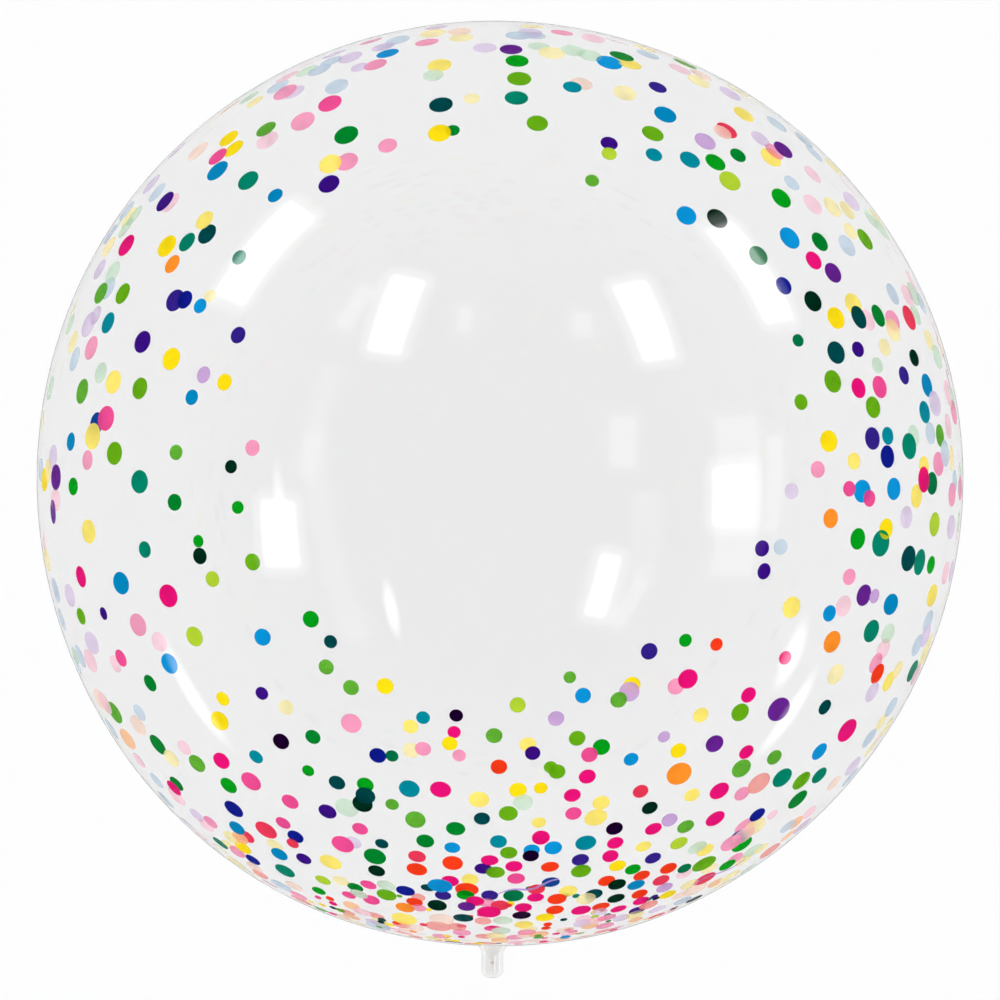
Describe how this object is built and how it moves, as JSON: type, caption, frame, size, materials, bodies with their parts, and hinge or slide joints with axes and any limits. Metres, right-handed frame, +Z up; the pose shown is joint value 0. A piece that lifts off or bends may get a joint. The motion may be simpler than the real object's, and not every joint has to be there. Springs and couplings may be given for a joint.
{
  "type": "clear bubble balloon",
  "caption": "Round clear film balloon with a short sealed neck, blown up and lying on its side, with loose paper confetti discs clinging inside.",
  "frame": {"origin": "the middle of the small flat spot on the film that the balloon rests on", "axes": "+Z up from the rest spot through the middle of the bubble, -Y out along the sealed neck"},
  "size_m": [0.6099, 0.6321, 0.6082],
  "materials": {
    "film": "clear, glossy blown film"
  },
  "bodies": {
    "root": {"bubble": "film"}
  },
  "joints": []
}
